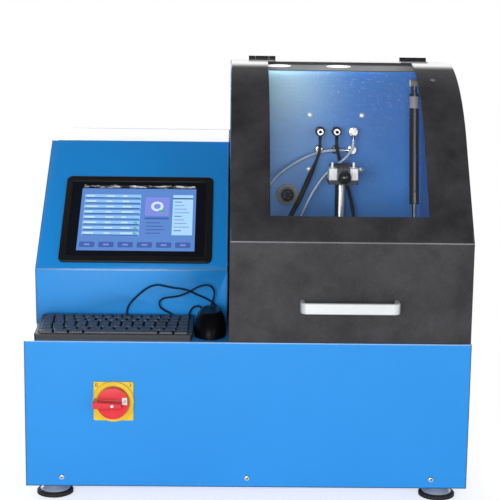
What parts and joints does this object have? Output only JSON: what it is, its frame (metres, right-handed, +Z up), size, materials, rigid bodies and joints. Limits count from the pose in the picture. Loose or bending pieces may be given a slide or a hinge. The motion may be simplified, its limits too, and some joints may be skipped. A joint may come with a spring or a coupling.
{
  "type": "common rail injector test bench",
  "caption": "Bench-top cabinet with touch screen console, hinged windowed hood over an injector test chamber, rotary main switch, keyboard and mouse.",
  "frame": {"origin": "on the floor, in the middle of the machine's outer box seen from above", "axes": "+Z up, +X to the right as seen from the front, -Y towards the user (screen, hood handle and main switch)"},
  "size_m": [0.72, 0.738, 0.7203],
  "materials": {
    "blue_paint": "smooth semi-gloss powder coat, slight orange peel",
    "charcoal_paint": "fine textured satin powder coat",
    "clear_acrylic": "clear polished acrylic sheet",
    "aluminium": "satin anodised aluminium",
    "machined_aluminium": "machined bright aluminium",
    "zinc_steel": "zinc plated steel",
    "dark_steel": "blackened steel",
    "chrome": "polished chromium plate",
    "nickel_brass": "nickel plated brass",
    "stainless": "brushed stainless sheet",
    "rubber": "matt black rubber",
    "black_plastic": "fine textured black plastic",
    "gloss_black": "glossy black plastic",
    "key_plastic": "satin dark key caps",
    "screen_glass": "glossy touch panel with a lit picture",
    "yellow_plastic": "glossy signal yellow plastic",
    "red_plastic": "glossy signal red plastic",
    "grey_plastic": "light grey plastic with a milky lens",
    "black_hose": "black fuel hose",
    "clear_hose": "clear soft tube",
    "motor_paint": "grey machine enamel",
    "cast_aluminium": "cast and machined pump body",
    "tank_plastic": "natural polyethylene"
  },
  "bodies": {
    "cabinet": {"base_shell": "blue_paint", "base_front_panel": "blue_paint", "foot_pads": "rubber", "foot_studs": "zinc_steel", "case_screws": "zinc_steel", "console_cover": "blue_paint", "cable_grommets": "rubber", "tower_cover": "blue_paint", "rear_panel": "blue_paint", "chamber_tub": "blue_paint", "lamp_bar": "grey_plastic", "drip_tray": "stainless", "coupler_bodies": "nickel_brass", "signal_socket": "zinc_steel", "clamp_post": "chrome", "spray_chamber": "aluminium", "hinge_leaves_body": "dark_steel", "hinge_pins": "zinc_steel", "strut_bracket_foot": "zinc_steel", "screen_bezel": "black_plastic", "screen_glass": "screen_glass", "screen_body": "black_plastic", "switch_plate": "yellow_plastic", "switch_block": "black_plastic", "keyboard_body": "black_plastic", "mouse_body": "gloss_black", "keyboard_lead": "black_hose", "mouse_lead": "black_hose", "black_hose_left": "black_hose", "black_hose_right": "black_hose", "clear_hose_left": "clear_hose", "clear_hose_right": "clear_hose", "drive_motor": "motor_paint", "pressure_pump": "cast_aluminium", "common_rail": "zinc_steel", "fuel_tank": "tank_plastic", "fan_frame": "black_plastic", "control_unit": "aluminium", "mains_inlet": "black_plastic"},
    "hood": {"hood_shell": "charcoal_paint", "hood_window": "clear_acrylic", "hood_handle": "aluminium", "hood_screws": "dark_steel", "hinge_leaves_hood": "dark_steel", "strut_bracket_top": "dark_steel"},
    "strut_cylinder": {"strut_tube": "dark_steel"},
    "strut_piston": {"strut_rod": "chrome"},
    "switch_handle": {"switch_knob": "red_plastic"},
    "function_keys": {"keys_function_row": "key_plastic"},
    "character_keys": {"keys_character_rows": "key_plastic"},
    "left_button": {"mouse_button_left": "gloss_black"},
    "right_button": {"mouse_button_right": "gloss_black"},
    "scroll_wheel": {"mouse_wheel": "rubber"},
    "clamp_carrier": {"clamp_head": "dark_steel", "clamp_yoke": "machined_aluminium"},
    "clamp_slider": {"clamp_jaw": "machined_aluminium"},
    "clamp_screw": {"clamp_knob": "gloss_black"},
    "release_sleeves": {"coupler_sleeves": "nickel_brass"},
    "drive_line": {"drive_shaft": "zinc_steel"},
    "fan_wheel": {"fan_rotor": "black_plastic"}
  },
  "joints": [
    {"name": "hood_hinge", "type": "hinge", "parent": "cabinet", "child": "hood", "pos_m": [0.1635, 0.00075, 0.7158], "axis": [-1, 0, 0], "range_deg": [0, 62]},
    {"name": "strut_pivot", "type": "hinge", "parent": "hood", "child": "strut_cylinder", "pos_m": [0.29, -0.07, 0.676], "axis": [1, 0, 0], "range_deg": [0, 64.81]},
    {"name": "strut_stroke", "type": "slide", "parent": "strut_cylinder", "child": "strut_piston", "axis": [0, -0.2324, -0.9726], "range_m": [0, 0.08246]},
    {"name": "switch_turn", "type": "hinge", "parent": "cabinet", "child": "switch_handle", "pos_m": [-0.2165, -0.335, 0.17], "axis": [0, 1, 0], "range_deg": [0, 90]},
    {"name": "function_keys_press", "type": "slide", "parent": "cabinet", "child": "function_keys", "axis": [0, 0.0889, -0.996], "range_m": [0, 0.002], "stiffness_N_per_m": 900, "springref_m": -0.002},
    {"name": "character_keys_press", "type": "slide", "parent": "cabinet", "child": "character_keys", "axis": [0, 0.0889, -0.996], "range_m": [0, 0.002], "stiffness_N_per_m": 2000, "springref_m": -0.002},
    {"name": "left_button_click", "type": "slide", "parent": "cabinet", "child": "left_button", "axis": [0, 0, -1], "range_m": [0, 0.0008], "stiffness_N_per_m": 900, "springref_m": -0.001},
    {"name": "right_button_click", "type": "slide", "parent": "cabinet", "child": "right_button", "axis": [0, 0, -1], "range_m": [0, 0.0008], "stiffness_N_per_m": 900, "springref_m": -0.001},
    {"name": "wheel_roll", "type": "hinge", "parent": "cabinet", "child": "scroll_wheel", "pos_m": [-0.0625, -0.24576, 0.2985], "axis": [1, 0, 0], "continuous": true},
    {"name": "clamp_height", "type": "slide", "parent": "cabinet", "child": "clamp_carrier", "axis": [0, 0, 1], "range_m": [-0.04, 0.008]},
    {"name": "jaw_slide", "type": "slide", "parent": "clamp_carrier", "child": "clamp_slider", "axis": [0, 1, 0], "range_m": [0, 0.008]},
    {"name": "clamp_screw_turn", "type": "hinge", "parent": "clamp_slider", "child": "clamp_screw", "pos_m": [0.1653, -0.143, 0.516], "axis": [0, 1, 0], "range_deg": [0, 1440]},
    {"name": "sleeve_release", "type": "slide", "parent": "cabinet", "child": "release_sleeves", "axis": [0, 1, 0], "range_m": [0, 0.003], "stiffness_N_per_m": 1500, "springref_m": -0.001},
    {"name": "drive_spin", "type": "hinge", "parent": "cabinet", "child": "drive_line", "pos_m": [-0.116, 0.025, 0.1055], "axis": [1, 0, 0], "continuous": true},
    {"name": "fan_spin", "type": "hinge", "parent": "cabinet", "child": "fan_wheel", "pos_m": [-0.18, 0.3635, 0.146], "axis": [0, 1, 0], "continuous": true}
  ],
  "couplings": [
    {"joint": "strut_pivot", "follows": "hood_hinge", "ratio": 1.0437},
    {"joint": "strut_stroke", "follows": "hood_hinge", "m_per_rad": 0.076014},
    {"joint": "jaw_slide", "follows": "clamp_screw_turn", "m_per_rad": 0.00031831}
  ]
}
